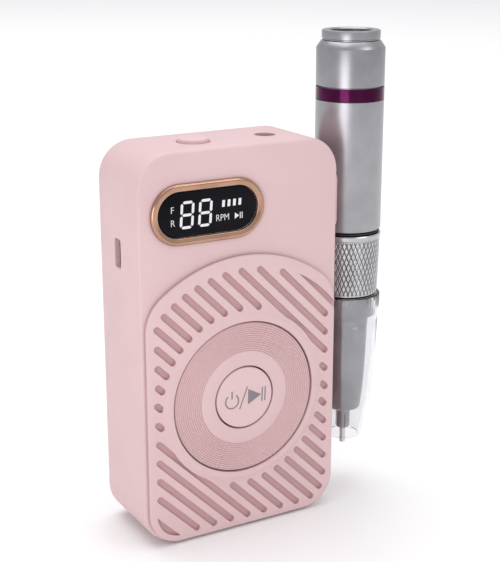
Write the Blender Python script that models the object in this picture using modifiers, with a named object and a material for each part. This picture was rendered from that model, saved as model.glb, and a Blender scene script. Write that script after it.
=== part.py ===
"""Electric nail drill: a portable control box with a speed dial, and a pen
handpiece that a magnetic saddle holds beside it.

Metres, +Z up. The origin is the centre of the control box's flat bottom, the
front of the box faces -Y and the handpiece hangs upright on the +X side.
Lengths below are in millimetres and MM turns them into metres.
"""

import math

import bmesh
import bpy
from mathutils import Matrix, Vector

MM = 0.001

# Control box
BOX_W = 78.0
BOX_D = 33.0
BOX_H = 140.0
BOX_CORNER = 12.5
FRONT_EDGE = 1.2
BACK_EDGE = 3.0
WALL = 2.2
FRONT_Y = -BOX_D / 2
BACK_Y = BOX_D / 2
FLANGE_Y = 12.2
REBATE_Y = 13.9
FIT = 0.3

# Grille panel on the front
PANEL_HALF = 37.65
PANEL_BOTTOM = 0.4
PANEL_CORNER = 12.0
PANEL_ARCH = 52.0
PANEL_SHOULDER = 15.0
PANEL_PROUD = 1.8
PANEL_GAP = 0.25
SLOT_PITCH = 6.95
SLOT_PHASE = 50.4
SLOT_WIDTH = 2.4
SLOT_DEPTH = 1.2
SLOT_SIDE = 35.0
SLOT_FOOT = 2.6
SLOT_CORNER = 9.5
SLOT_ARCH = 47.9
SLOT_INNER = 32.0

# Speed dial and the power button in its middle
DIAL_X = 0.0
DIAL_Z = 50.0
DIAL_R = 27.8
DIAL_HOLE_R = 28.15
HUB_R = 15.0
BUTTON_R = 11.3
BUTTON_TRAVEL = 0.8

# Display
SCREEN_X = -13.1
SCREEN_Z = 118.8
BEZEL_W = 43.0
BEZEL_H = 21.0
GLASS_W = 37.2
GLASS_H = 15.0

# Top and side
REVERSE_X = -10.6
REVERSE_Y = -1.8
REVERSE_R = 5.5
JACK_X = 17.7
JACK_Y = -1.9
JACK_R = 3.7
USB_Z = 103.8
USB_Y = 0.2

# Handpiece
PEN_X = 54.76
PEN_Y = 0.0
PEN_R = 12.5
PEN_STEPS = 32
SHANK_R = 1.175

for old in list(bpy.data.objects):
    bpy.data.objects.remove(old, do_unlink=True)

scene = bpy.context.scene
parts = bpy.data.collections.new("electric_nail_drill")
cutters = bpy.data.collections.new("cutters")
scene.collection.children.link(parts)
scene.collection.children.link(cutters)


def finish(obj, colour, roughness, metallic=0.0, transmission=0.0):
    """Gives the object a Principled material named after it."""
    material = bpy.data.materials.new(obj.name)
    material.use_nodes = True
    shader = material.node_tree.nodes["Principled BSDF"]
    shader.inputs["Base Color"].default_value = (*colour, 1.0)
    shader.inputs["Roughness"].default_value = roughness
    shader.inputs["Metallic"].default_value = metallic
    shader.inputs["Transmission Weight"].default_value = transmission
    obj.data.materials.clear()
    obj.data.materials.append(material)


def hide(obj):
    """Makes the object a helper: a cutter, or a shape that joins another."""
    obj.hide_render = True
    obj.display_type = "WIRE"


def add_object(name, data, helper=False):
    obj = bpy.data.objects.new(name, data)
    (cutters if helper else parts).objects.link(obj)
    if helper:
        hide(obj)
    return obj


def arc(cx, cz, radius, start, end, count):
    """Points along an arc, angles in degrees, both ends included."""
    points = []
    for i in range(count + 1):
        angle = math.radians(start + (end - start) * i / count)
        points.append((cx + radius * math.cos(angle), cz + radius * math.sin(angle)))
    return points


def rounded_rectangle(width, height, radius, cx=0.0, cz=0.0, count=7):
    """Outline of a rectangle with round corners, counter-clockwise."""
    dx = width / 2 - radius
    dz = height / 2 - radius
    points = []
    for sx, sz, start in ((1, 1, 0), (-1, 1, 90), (-1, -1, 180), (1, -1, 270)):
        points += arc(cx + sx * dx, cz + sz * dz, radius, start, start + 90, count)
    kept = []
    for point in points:
        if not kept or math.dist(point, kept[-1]) > 0.01:
            kept.append(point)
    if math.dist(kept[0], kept[-1]) < 0.01:
        kept.pop()
    return kept


TURN = {
    "X": Matrix.Rotation(math.radians(90), 4, "Z") @ Matrix.Rotation(math.radians(90), 4, "X"),
    "Y": Matrix.Rotation(math.radians(90), 4, "X"),
    "Z": Matrix.Identity(4),
}


def plate(name, outline, low, high, axis="Y", helper=False, at=(0.0, 0.0, 0.0)):
    """A flat outline from a filled 2D curve, extruded from low to high along an axis.

    The outline's two numbers are x and z for axis Y, y and z for axis X, and
    x and y for axis Z. The piece's origin is at the point `at`.
    """
    curve = bpy.data.curves.new(name, "CURVE")
    curve.dimensions = "2D"
    curve.fill_mode = "BOTH"
    curve.extrude = abs(high - low) / 2 * MM
    spline = curve.splines.new("POLY")
    spline.points.add(len(outline) - 1)
    for point, (u, v) in zip(spline.points, outline):
        point.co = (u * MM, v * MM, 0.0, 1.0)
    spline.use_cyclic_u = True
    guide = bpy.data.objects.new(name + "_curve", curve)
    scene.collection.objects.link(guide)
    bpy.context.view_layer.update()
    evaluated = guide.evaluated_get(bpy.context.evaluated_depsgraph_get())
    mesh = bpy.data.meshes.new_from_object(evaluated)
    bpy.data.objects.remove(guide, do_unlink=True)
    bpy.data.curves.remove(curve)
    middle = (low + high) / 2 * MM
    shift = {"X": (middle, 0, 0), "Y": (0, middle, 0), "Z": (0, 0, middle)}[axis]
    origin = Vector(at) * MM
    mesh.transform(Matrix.Translation(Vector(shift) - origin) @ TURN[axis])
    work = bmesh.new()
    work.from_mesh(mesh)
    bmesh.ops.remove_doubles(work, verts=work.verts, dist=1e-6)
    bmesh.ops.dissolve_limit(
        work, angle_limit=math.radians(0.5), verts=work.verts, edges=work.edges
    )
    bmesh.ops.recalc_face_normals(work, faces=work.faces)
    work.to_mesh(mesh)
    work.free()
    mesh.name = name
    obj = add_object(name, mesh, helper)
    obj.location = origin
    return obj


def turned(name, profile, centre, axis="Z", steps=32, helper=False):
    """A turned shape: (radius, height) pairs, outer side top to bottom, by Screw.

    Height runs along +Z, or along -Y (towards the front) for axis Y. A profile
    that starts or ends off the axis is closed into a ring.
    """
    mesh = bpy.data.meshes.new(name)
    work = bmesh.new()
    row = [work.verts.new((r * MM, 0.0, h * MM)) for r, h in profile]
    for first, second in zip(row, row[1:]):
        work.edges.new((first, second))
    if profile[0][0] > 0 or profile[-1][0] > 0:
        work.edges.new((row[-1], row[0]))
    work.to_mesh(mesh)
    work.free()
    obj = add_object(name, mesh, helper)
    obj.location = Vector(centre) * MM
    if axis == "Y":
        obj.rotation_euler = (math.radians(90), 0.0, 0.0)
    screw = obj.modifiers.new("Screw", "SCREW")
    screw.axis = "Z"
    screw.angle = math.tau
    screw.steps = steps
    screw.render_steps = steps
    screw.use_merge_vertices = True
    screw.merge_threshold = 1e-5
    screw.use_smooth_shade = True
    return obj


def box(name, low, high, edge=0.0, helper=False, segments=2):
    """A block between two corners, with its edges rounded by Bevel."""
    centre = [(a + b) / 2 * MM for a, b in zip(low, high)]
    bpy.ops.mesh.primitive_cube_add(size=1.0, location=centre)
    obj = bpy.context.object
    obj.name = name
    obj.data.name = name
    obj.data.transform(
        Matrix.Diagonal([(b - a) * MM for a, b in zip(low, high)] + [1.0])
    )
    for home in list(obj.users_collection):
        home.objects.unlink(obj)
    (cutters if helper else parts).objects.link(obj)
    if helper:
        hide(obj)
    if edge:
        bevel = obj.modifiers.new("Bevel", "BEVEL")
        bevel.width = edge * MM
        bevel.segments = segments
    return obj


def soften(obj, width, segments, weigh):
    """Bevels the edges that weigh() gives a share of the width, by their two ends in mm."""
    mesh = obj.data
    layer = mesh.attributes.new("bevel_weight_edge", "FLOAT", "EDGE")
    place = obj.location
    for edge in mesh.edges:
        a, b = [(mesh.vertices[i].co + place) / MM for i in edge.vertices]
        layer.data[edge.index].value = weigh(a, b)
    bevel = obj.modifiers.new("Bevel", "BEVEL")
    bevel.limit_method = "WEIGHT"
    bevel.width = width * MM
    bevel.segments = segments
    bevel.use_clamp_overlap = False
    return obj


def boolean(obj, other, operation="DIFFERENCE"):
    modifier = obj.modifiers.new(operation.title() + " " + other.name, "BOOLEAN")
    modifier.operation = operation
    modifier.object = other
    modifier.solver = "EXACT"


def on_plane(index, value):
    """Weighs 1 for an edge whose two ends lie at this coordinate, in mm."""
    return lambda a, b: float(abs(a[index] - value) < 0.01 and abs(b[index] - value) < 0.01)


PINK = (0.70, 0.47, 0.48)
STEEL = (0.62, 0.62, 0.64)
BLACK = (0.02, 0.02, 0.022)
GREEN = (0.03, 0.16, 0.07)

# ---- Front shell: the box's front and sides in one moulding, open at the back
outer = rounded_rectangle(BOX_W, BOX_H, BOX_CORNER, 0.0, BOX_H / 2, 8)
shell = plate("front_shell", outer, FRONT_Y, BACK_Y)


def shell_weight(a, b):
    """Share of the back edge's rounding: all of it at the back, less at the front."""
    if abs(a.y - BACK_Y) < 0.01 and abs(b.y - BACK_Y) < 0.01:
        return 1.0
    if abs(a.y - FRONT_Y) < 0.01 and abs(b.y - FRONT_Y) < 0.01:
        return FRONT_EDGE / BACK_EDGE
    return 0.0


soften(shell, BACK_EDGE, 3, shell_weight)
cavity = rounded_rectangle(
    BOX_W - 2 * WALL, BOX_H - 2 * WALL, BOX_CORNER - WALL, 0.0, BOX_H / 2, 6
)
boolean(shell, plate("shell_cavity", cavity, FRONT_Y + WALL, FLANGE_Y, helper=True))
doorway = rounded_rectangle(62.0, 122.0, 5.0, 0.0, BOX_H / 2, 4)
boolean(shell, plate("rear_doorway", doorway, FLANGE_Y - 1.0, BACK_Y + 2.0, helper=True))
rebate = rounded_rectangle(67.0, 127.0, 7.5, 0.0, BOX_H / 2, 5)
boolean(shell, plate("rear_rebate", rebate, REBATE_Y, BACK_Y + 1.5, helper=True))

SCREW_PLACES = ((-26.5, 13.5), (26.5, 13.5), (-26.5, 126.5), (26.5, 126.5))
for number, (x, z) in enumerate(SCREW_PLACES, 1):
    length = REBATE_Y - 0.1 - (FRONT_Y + WALL - 0.8)
    post = turned(
        f"screw_post_{number}",
        [(0.0, length), (3.0, length), (3.0, 0.0), (0.0, 0.0)],
        (x, REBATE_Y - 0.1, z), "Y", 12, True,
    )
    boolean(shell, post, "UNION")
    pilot = turned(
        f"screw_pilot_{number}",
        [(0.0, 9.0), (1.3, 9.0), (1.3, -3.0), (0.0, -3.0)],
        (x, REBATE_Y, z), "Y", 10, True,
    )
    boolean(shell, pilot)

hub_hole = turned(
    "hub_hole", [(0.0, 3.0), (HUB_R + 0.4, 3.0), (HUB_R + 0.4, -3.0), (0.0, -3.0)],
    (DIAL_X, FRONT_Y + 1.0, DIAL_Z), "Y", 40, True,
)
boolean(shell, hub_hole)
window_hole = rounded_rectangle(GLASS_W + 0.7, GLASS_H + 0.7, (GLASS_H + 0.7) / 2, SCREEN_X, SCREEN_Z)
boolean(shell, plate("window_hole", window_hole, FRONT_Y - 1.0, FRONT_Y + 4.0, helper=True))
for name, x, y, radius in (
    ("reverse_hole", REVERSE_X, REVERSE_Y, REVERSE_R + FIT),
    ("jack_hole", JACK_X, JACK_Y, JACK_R),
):
    hole = turned(
        name, [(0.0, 3.0), (radius, 3.0), (radius, -4.0), (0.0, -4.0)],
        (x, y, BOX_H), "Z", 24, True,
    )
    boolean(shell, hole)
usb_hole = rounded_rectangle(4.8, 10.2, 1.0, USB_Y, USB_Z, 3)
boolean(shell, plate("usb_hole", usb_hole, -BOX_W / 2 - 1.0, -BOX_W / 2 + 4.0, "X", True))
finish(shell, PINK, 0.5)

# ---- Back cover: a flat lid let into the rebate, held by four screws
lid = rounded_rectangle(67.0 - 2 * FIT, 127.0 - 2 * FIT, 7.2, 0.0, BOX_H / 2, 5)
cover = plate("back_cover", lid, REBATE_Y + FIT, BACK_Y)
soften(cover, 0.4, 1, on_plane(1, BACK_Y))
for number, (x, z) in enumerate(SCREW_PLACES, 1):
    seat = turned(
        f"screw_seat_{number}",
        [(0.0, 4.0), (1.35, 4.0), (1.35, 1.3), (2.7, 1.3), (2.7, -1.0), (0.0, -1.0)],
        (x, BACK_Y, z), "Y", 16, True,
    )
    boolean(cover, seat)
finish(cover, PINK, 0.5)

for number, (x, z) in enumerate(SCREW_PLACES, 1):
    screw = turned(
        f"cover_screw_{number}",
        [(0.0, 8.6), (0.6, 8.6), (1.0, 7.8), (1.0, 1.05), (2.35, 1.05), (2.35, 0.45), (1.9, 0.15), (0.0, 0.15)],
        (x, BACK_Y, z), "Y", 12,
    )
    finish(screw, STEEL, 0.3, 1.0)

# ---- Grille panel: raised plate with slanting blind slots round the dial
shoulder_x = PANEL_HALF - PANEL_SHOULDER
shoulder_z = DIAL_Z + math.sqrt((PANEL_ARCH - PANEL_SHOULDER) ** 2 - shoulder_x**2)
lean = math.degrees(math.atan2(shoulder_z - DIAL_Z, shoulder_x))
foot_x = PANEL_HALF - PANEL_CORNER
foot_z = PANEL_BOTTOM + PANEL_CORNER
panel_outline = (
    arc(foot_x, foot_z, PANEL_CORNER, -90, 0, 6)
    + arc(shoulder_x, shoulder_z, PANEL_SHOULDER, 0, lean, 5)
    + arc(DIAL_X, DIAL_Z, PANEL_ARCH, lean, 180 - lean, 14)[1:-1]
    + arc(-shoulder_x, shoulder_z, PANEL_SHOULDER, 180 - lean, 180, 5)
    + arc(-foot_x, foot_z, PANEL_CORNER, 180, 270, 6)
)
panel_face = FRONT_Y - PANEL_PROUD
panel = plate("grille_panel", panel_outline, panel_face, FRONT_Y - PANEL_GAP)
soften(panel, 0.55, 2, on_plane(1, panel_face))

collar_ring = turned(
    "dial_surround",
    [(30.4, 0.3), (31.6, -0.1), (31.6, -0.9), (DIAL_HOLE_R - 0.6, -0.9)]
    + [(DIAL_HOLE_R - 0.6, 0.3)],
    (DIAL_X, panel_face, DIAL_Z), "Y", 48, True,
)
boolean(panel, collar_ring, "UNION")


def inside_slot_area(x, z):
    """True where a slot's middle line may run, clear of the rim and the dial."""
    half = SLOT_WIDTH / 2
    if abs(x) > SLOT_SIDE - half or z < SLOT_FOOT + half:
        return False
    if z > DIAL_Z and math.hypot(x, z - DIAL_Z) > SLOT_ARCH - half:
        return False
    corner_x = SLOT_SIDE - SLOT_CORNER
    corner_z = SLOT_FOOT + SLOT_CORNER
    if abs(x) > corner_x and z < corner_z:
        return math.hypot(abs(x) - corner_x, z - corner_z) <= SLOT_CORNER - half
    return True


def slot_runs(total):
    """Stretches of the 45 degree line x + z = total that a slot covers, as (start, end)."""
    runs = []
    start = None
    offset = abs(total - DIAL_X - DIAL_Z) / math.sqrt(2)
    skirts = offset > SLOT_INNER - SLOT_WIDTH / 2
    for i in range(-1500, 1501):
        t = i * 0.04
        x = total / 2 - DIAL_Z / 2 + t
        z = total - x
        clear = skirts or math.hypot(x - DIAL_X, z - DIAL_Z) > SLOT_INNER + SLOT_WIDTH / 2
        if inside_slot_area(x, z) and clear:
            if start is None:
                start = x
            last = x
        elif start is not None:
            runs.append((start, last))
            start = None
    return runs


def slot_outline(total, x0, x1):
    """Outline of one slot: two half circles joined by straight sides, eased round the dial."""
    half = SLOT_WIDTH / 2
    points = arc(x1, total - x1, half, -135, 45, 4)
    step = 1.0 / max(1, int((x1 - x0) / 4))
    sides = [k * step for k in range(1, int(round(1 / step)))]
    lift = half / math.sqrt(2)
    for k in sides:
        x = x1 + (x0 - x1) * k
        points.append((x + lift, total - x + lift))
    points += arc(x0, total - x0, half, 45, 225, 4)
    for k in sides:
        x = x0 + (x1 - x0) * k
        points.append((x - lift, total - x - lift))
    eased = []
    for x, z in points:
        reach = math.hypot(x - DIAL_X, z - DIAL_Z)
        push = max(1.0, SLOT_INNER / reach)
        eased.append((DIAL_X + (x - DIAL_X) * push, DIAL_Z + (z - DIAL_Z) * push))
    return eased


slot_outlines = []
for n in range(-10, 9):
    total = SLOT_PHASE + SLOT_PITCH * (n + 0.5)
    for x0, x1 in slot_runs(total):
        if x1 - x0 < 1.4:
            middle = (x0 + x1) / 2
            x0, x1 = middle - 0.7, middle + 0.7
        slot_outlines.append(slot_outline(total, x0, x1))

# The two corners that the slots leave over: a sliver under the arch, a wedge at the foot
chord = 115.3
edge_a = math.degrees(math.acos((chord - DIAL_X - DIAL_Z) / math.sqrt(2) / SLOT_ARCH))
slot_outlines.append(arc(DIAL_X, DIAL_Z, SLOT_ARCH, 45 - edge_a * 0.86, 45 + edge_a * 0.86, 8))
wedge = arc(-SLOT_SIDE + SLOT_CORNER, SLOT_FOOT + SLOT_CORNER, SLOT_CORNER, 184, 266, 8)
slot_outlines.append(wedge)

slot_floor = panel_face + SLOT_DEPTH
for number, outline in enumerate(slot_outlines, 1):
    boolean(panel, plate(f"slot_{number}", outline, panel_face - 1.0, slot_floor, helper=True))
dial_hole = turned(
    "dial_hole", [(0.0, 5.0), (DIAL_HOLE_R, 5.0), (DIAL_HOLE_R, -5.0), (0.0, -5.0)],
    (DIAL_X, panel_face, DIAL_Z), "Y", 48, True,
)
boolean(panel, dial_hole)
finish(panel, PINK, 0.5)

# ---- Display: chrome bezel, dark window and the board behind them
bezel_outline = rounded_rectangle(BEZEL_W, BEZEL_H, BEZEL_H / 2, SCREEN_X, SCREEN_Z, 9)
bezel = plate("display_bezel", bezel_outline, FRONT_Y - 1.5, FRONT_Y - PANEL_GAP)
soften(bezel, 0.95, 3, on_plane(1, FRONT_Y - 1.5))
inner = rounded_rectangle(GLASS_W + 0.8, GLASS_H + 0.8, GLASS_H / 2 + 0.4, SCREEN_X, SCREEN_Z, 9)
boolean(bezel, plate("bezel_hole", inner, FRONT_Y - 4.0, FRONT_Y + 1.0, helper=True))
finish(bezel, (0.80, 0.50, 0.36), 0.12, 1.0)
glass_outline = rounded_rectangle(GLASS_W, GLASS_H, GLASS_H / 2, SCREEN_X, SCREEN_Z, 9)
glass = plate("display_window", glass_outline, FRONT_Y - 0.6, FRONT_Y + WALL - 0.1)
finish(glass, BLACK, 0.08)
board = box(
    "display_board",
    (SCREEN_X - 20.5, FRONT_Y + WALL + 0.4, SCREEN_Z - 9.5),
    (SCREEN_X + 20.5, FRONT_Y + WALL + 2.0, SCREEN_Z + 4.2), 0.3, segments=1,
)
finish(board, GREEN, 0.5)

# ---- Speed dial: grooved ring on a hub, with its retaining ring and encoder
dial_face = 2.0
dial_centre = (DIAL_X, FRONT_Y, DIAL_Z)
dial = turned(
    "speed_dial",
    [(12.1, dial_face), (17.0, dial_face), (17.6, dial_face - 0.15), (26.8, dial_face - 0.15)]
    + [(DIAL_R, dial_face - 0.8), (DIAL_R, 0.3), (HUB_R, 0.3), (HUB_R, -7.2), (11.65, -7.2)]
    + [(11.65, dial_face - 0.4)],
    dial_centre, "Y", 48,
)
finish(dial, PINK, 0.42)
retainer = turned(
    "dial_retainer",
    [(18.4, -2.5), (18.4, -3.7), (HUB_R + FIT, -3.7), (HUB_R + FIT, -2.5)],
    dial_centre, "Y", 32,
)
finish(retainer, STEEL, 0.35, 1.0)
encoder = turned(
    "dial_encoder",
    [(21.0, -4.6), (21.0, -14.7), (HUB_R + 0.6, -14.7), (HUB_R + 0.6, -4.6)],
    dial_centre, "Y", 32,
)
finish(encoder, BLACK, 0.5)

# ---- Power button: disc in the dial's bore, with a stem and a flange behind the hub
button = turned(
    "power_button",
    [(0.0, dial_face + 0.15), (10.7, dial_face + 0.15), (BUTTON_R, dial_face - 0.35), (BUTTON_R, -7.5)]
    + [(13.0, -7.5), (13.0, -8.5), (2.2, -8.5), (2.2, -10.0), (0.0, -10.0)],
    dial_centre, "Y", 40,
)
finish(button, PINK, 0.42)
switch = box(
    "power_switch", (DIAL_X - 3.0, -5.4, DIAL_Z - 3.0), (DIAL_X + 3.0, -1.8, DIAL_Z + 3.0), 0.3, segments=1
)
finish(switch, BLACK, 0.5)

# ---- Direction button on the top, with its switch
reverse = turned(
    "direction_button",
    [(0.0, 1.5), (REVERSE_R - 0.8, 1.5), (REVERSE_R - 0.2, 1.25), (REVERSE_R, 0.7), (REVERSE_R, -2.6)]
    + [(6.6, -2.6), (6.6, -3.6), (2.0, -3.6), (2.0, -12.2), (0.0, -12.2)],
    (REVERSE_X, REVERSE_Y, BOX_H), "Z", 24,
)
finish(reverse, PINK, 0.45)
rocker = box(
    "direction_switch",
    (REVERSE_X - 3.0, REVERSE_Y - 3.0, 122.3), (REVERSE_X + 3.0, REVERSE_Y + 3.0, 126.4), 0.3, segments=1,
)
finish(rocker, BLACK, 0.5)

# ---- Handpiece jack under the top wall, and the charging port in the left wall
jack = turned(
    "handpiece_jack",
    [(5.4, BOX_H - WALL - FIT), (5.4, 122.3), (0.0, 122.3), (0.0, 124.5), (3.3, 124.5)]
    + [(3.3, BOX_H - WALL - FIT)],
    (JACK_X, JACK_Y, 0.0), "Z", 24,
)
finish(jack, BLACK, 0.45)
port_outline = rounded_rectangle(3.3, 9.0, 1.4, USB_Y, USB_Z, 3)
port = plate("usb_port", port_outline, -36.6, -29.3, "X")
pocket = rounded_rectangle(2.6, 8.3, 1.1, USB_Y, USB_Z, 3)
boolean(port, plate("port_pocket", pocket, -38.0, -30.3, "X", True))
tongue = box(
    "port_tongue", (-35.6, USB_Y - 0.35, USB_Z - 3.3), (-30.0, USB_Y + 0.35, USB_Z + 3.3), helper=True
)
boolean(port, tongue, "UNION")
finish(port, STEEL, 0.3, 1.0)

# ---- Main board and the two battery cells behind it
main_board = box("main_board", (-28.7, -1.5, 18.0), (35.0, 0.1, 122.0), 0.4, segments=1)
finish(main_board, GREEN, 0.5)
for name, low in (("battery_cell_1", 20.0), ("battery_cell_2", 71.4)):
    cell = box(name, (-35.6, 2.2, low), (21.4, 11.9, low + 50.0), 2.0)
    finish(cell, (0.05, 0.12, 0.35), 0.35)

# ---- Magnetic saddle on the right wall: it holds the handpiece by its steel barrel
SADDLE_R = PEN_R + FIT
saddle_low = 103.0
saddle_high = 126.0
cradle_outline = rounded_rectangle(16.4, saddle_high - saddle_low, 4.0, PEN_Y, (saddle_low + saddle_high) / 2, 4)
cradle = plate("holder_cradle", cradle_outline, BOX_W / 2 + 0.25, 45.0, "X")
scoop = turned(
    "saddle_scoop",
    [(0.0, 15.0), (SADDLE_R, 15.0), (SADDLE_R, -15.0), (0.0, -15.0)],
    (PEN_X, PEN_Y, (saddle_low + saddle_high) / 2), "Z", PEN_STEPS * 2, True,
)
boolean(cradle, scoop)
MAGNET_PLACES = (109.0, 120.0)
for number, z in enumerate(MAGNET_PLACES, 1):
    seat = box(
        f"magnet_seat_{number}", (38.0, -3.3, z - 3.3), (40.9, 3.3, z + 3.3), helper=True
    )
    boolean(cradle, seat)
finish(cradle, PINK, 0.5)
for number, z in enumerate(MAGNET_PLACES, 1):
    magnet = box(f"holder_magnet_{number}", (39.3, -3.0, z - 3.0), (40.6, 3.0, z + 3.0), 0.2, segments=1)
    finish(magnet, STEEL, 0.25, 1.0)

# ---- Handpiece: everything turned about one upright axis
pen = (PEN_X, PEN_Y, 0.0)
barrel = turned(
    "barrel",
    [(11.7, 160.0), (11.7, 149.5), (PEN_R, 149.5), (PEN_R, 102.0), (PEN_R - 0.3, 101.7)]
    + [(11.1, 101.7), (11.1, 160.0)],
    pen, steps=PEN_STEPS,
)
finish(barrel, STEEL, 0.28, 1.0)
accent = turned(
    "accent_ring",
    [(PEN_R + 0.05, 154.5), (PEN_R + 0.05, 149.8), (12.0, 149.8), (12.0, 154.5)],
    pen, steps=PEN_STEPS,
)
finish(accent, (0.30, 0.03, 0.20), 0.22, 1.0)
tail = turned(
    "tail_sleeve",
    [(10.6, 170.9), (PEN_R, 168.3), (PEN_R, 154.8), (12.0, 154.8), (12.0, 160.3), (9.9, 160.3)]
    + [(9.9, 170.9)],
    pen, steps=PEN_STEPS,
)
finish(tail, STEEL, 0.28, 1.0)
end_cap = turned(
    "end_cap",
    [(10.3, 174.5), (10.6, 174.2), (10.6, 171.2), (9.6, 171.2), (9.6, 164.0), (7.6, 164.0)]
    + [(7.6, 174.2), (7.9, 174.5)],
    pen, steps=PEN_STEPS,
)
finish(end_cap, STEEL, 0.2, 1.0)
socket = turned(
    "cable_socket",
    [(7.2, 172.9), (7.2, 161.0), (0.0, 161.0), (0.0, 162.6), (3.8, 162.6), (3.8, 172.9)],
    pen, steps=24,
)
finish(socket, BLACK, 0.45)

motor = turned(
    "motor_can",
    [(2.6, 146.0), (8.7, 146.0), (9.0, 145.7), (9.0, 114.6), (8.7, 114.3), (2.6, 114.3)],
    pen, steps=24,
)
finish(motor, STEEL, 0.35, 1.0)
rotor = turned(
    "motor_shaft",
    [(0.0, 149.5), (1.0, 149.5), (1.0, 106.0), (0.0, 106.0)],
    pen, steps=12,
)
finish(rotor, STEEL, 0.25, 1.0)
coupling = turned(
    "drive_coupling",
    [(1.3, 110.0), (4.0, 110.0), (4.0, 99.0), (0.0, 99.0), (0.0, 105.7), (1.3, 105.7)],
    pen, steps=16,
)
finish(coupling, BLACK, 0.5)
spindle = turned(
    "spindle",
    [(0.0, 98.7), (3.0, 98.7), (3.0, 47.0), (0.0, 47.0)],
    pen, steps=16,
)
finish(spindle, STEEL, 0.25, 1.0)
for name, low in (("front_bearing", 58.0), ("rear_bearing", 90.0)):
    bearing = turned(
        name, [(6.0, low + 4.0), (6.0, low), (3.1, low), (3.1, low + 4.0)], pen, steps=16
    )
    finish(bearing, STEEL, 0.25, 1.0)
collet = turned(
    "collet",
    [(0.0, 46.7), (3.4, 46.7), (3.4, 29.4), (2.75, 28.6), (2.75, 21.6), (2.2, 21.0)]
    + [(1.25, 21.0), (1.25, 43.0), (0.0, 43.0)],
    pen, steps=16,
)
finish(collet, STEEL, 0.2, 1.0)
bit = turned(
    "bit_shank",
    [(0.0, 42.0), (SHANK_R, 42.0), (SHANK_R, 14.5), (0.9, 14.2), (0.0, 14.2)],
    pen, steps=16,
)
finish(bit, STEEL, 0.18, 1.0)

seal = turned(
    "seal_ring",
    [(12.0, 101.4), (12.0, 100.75), (8.6, 100.75), (8.6, 101.4)],
    pen, steps=PEN_STEPS,
)
finish(seal, BLACK, 0.55)
lock = turned(
    "lock_collar",
    [(12.35, 100.4), (12.65, 100.1), (12.65, 98.6), (12.45, 98.2), (12.0, 84.0), (11.7, 77.2), (11.4, 76.75)]
    + [(9.9, 76.75), (9.9, 95.5), (8.6, 96.5), (8.6, 100.4)],
    pen, steps=PEN_STEPS,
)
finish(lock, STEEL, 0.32, 1.0)
cam = turned(
    "cam_sleeve",
    [(9.55, 91.0), (9.55, 78.0), (8.5, 78.0), (8.5, 91.0)],
    pen, steps=24,
)
finish(cam, (0.80, 0.76, 0.66), 0.45)
nose = turned(
    "nose_cone",
    [(10.8, 106.5), (10.8, 102.6), (8.2, 102.6), (8.2, 77.0), (8.6, 76.4), (11.45, 76.4), (11.45, 68.6)]
    + [(11.0, 68.2), (9.3, 68.0), (8.85, 67.2), (8.5, 58.0), (8.0, 46.0), (7.3, 36.0), (6.7, 30.6)]
    + [(6.0, 29.8), (3.9, 29.8), (3.9, 55.0), (6.3, 57.6), (6.3, 106.5)],
    pen, steps=PEN_STEPS,
)
finish(nose, (0.80, 0.80, 0.82), 0.06, 1.0)
cap_outside = [(12.6, 76.4), (13.0, 76.1), (13.0, 72.0), (12.5, 68.0), (12.2, 58.5), (11.3, 46.0)]
cap_outside += [(10.45, 35.0), (9.4, 30.0), (7.5, 20.5), (6.9, 18.4), (6.3, 18.0)]
cap_inside = [(5.9, 18.4), (6.4, 20.8), (8.3, 30.4), (9.3, 35.4), (10.1, 46.2), (11.0, 58.7)]
cap_inside += [(11.5, 66.0), (11.75, 68.0), (11.75, 76.2), (11.95, 76.4)]
clear_cap = turned("clear_cap", cap_outside + cap_inside, pen, steps=PEN_STEPS)
finish(clear_cap, (0.95, 0.96, 0.97), 0.03, 0.0, 1.0)

for obj in parts.objects:
    if obj.type == "MESH":
        obj.data.shade_smooth()
        obj.data.set_sharp_from_angle(angle=math.radians(35))
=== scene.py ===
import math

import bmesh
import bpy
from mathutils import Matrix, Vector


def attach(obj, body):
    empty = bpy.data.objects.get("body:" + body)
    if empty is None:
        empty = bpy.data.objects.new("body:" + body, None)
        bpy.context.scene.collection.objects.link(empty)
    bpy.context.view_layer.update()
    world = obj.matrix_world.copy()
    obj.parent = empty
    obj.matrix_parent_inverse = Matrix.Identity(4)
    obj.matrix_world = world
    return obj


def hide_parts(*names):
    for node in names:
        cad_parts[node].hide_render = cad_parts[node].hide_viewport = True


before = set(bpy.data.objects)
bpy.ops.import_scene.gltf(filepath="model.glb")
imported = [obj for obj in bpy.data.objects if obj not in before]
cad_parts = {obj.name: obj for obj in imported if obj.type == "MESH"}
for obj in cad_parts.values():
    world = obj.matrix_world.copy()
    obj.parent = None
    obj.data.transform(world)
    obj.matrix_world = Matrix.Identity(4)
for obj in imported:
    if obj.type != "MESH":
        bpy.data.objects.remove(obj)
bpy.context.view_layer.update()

# ------------------------------
# Camera, floor and soft studio light. A long lens looks down a little from the
# front left; a plain pale floor lies under an even fill and large softboxes.
# ------------------------------
scene = bpy.context.scene
scene.view_settings.view_transform = "Standard"
scene.view_settings.look = "None"

look_down = 16.54
look_right = 29.93
camera_data = bpy.data.cameras.new("studio_camera")
camera_data.lens = 80.2
camera_data.sensor_width = 36.0
camera_data.clip_start = 0.01
camera = bpy.data.objects.new("studio_camera", camera_data)
scene.collection.objects.link(camera)
camera.location = (-0.2047, -0.37775, 0.2158)
camera.rotation_euler = (math.radians(90 - look_down), 0.0, math.radians(-look_right))
scene.camera = camera


def wire(tree, node, *in_order, **by_name):
    """Sets a node's inputs, in order or by name, to values or to the sockets given."""
    pairs = list(zip(node.inputs, in_order))
    pairs += [(node.inputs[label.replace("_", " ")], value) for label, value in by_name.items()]
    for socket, value in pairs:
        if isinstance(value, bpy.types.NodeSocket):
            tree.links.new(value, socket)
        else:
            socket.default_value = value
    return node


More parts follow.
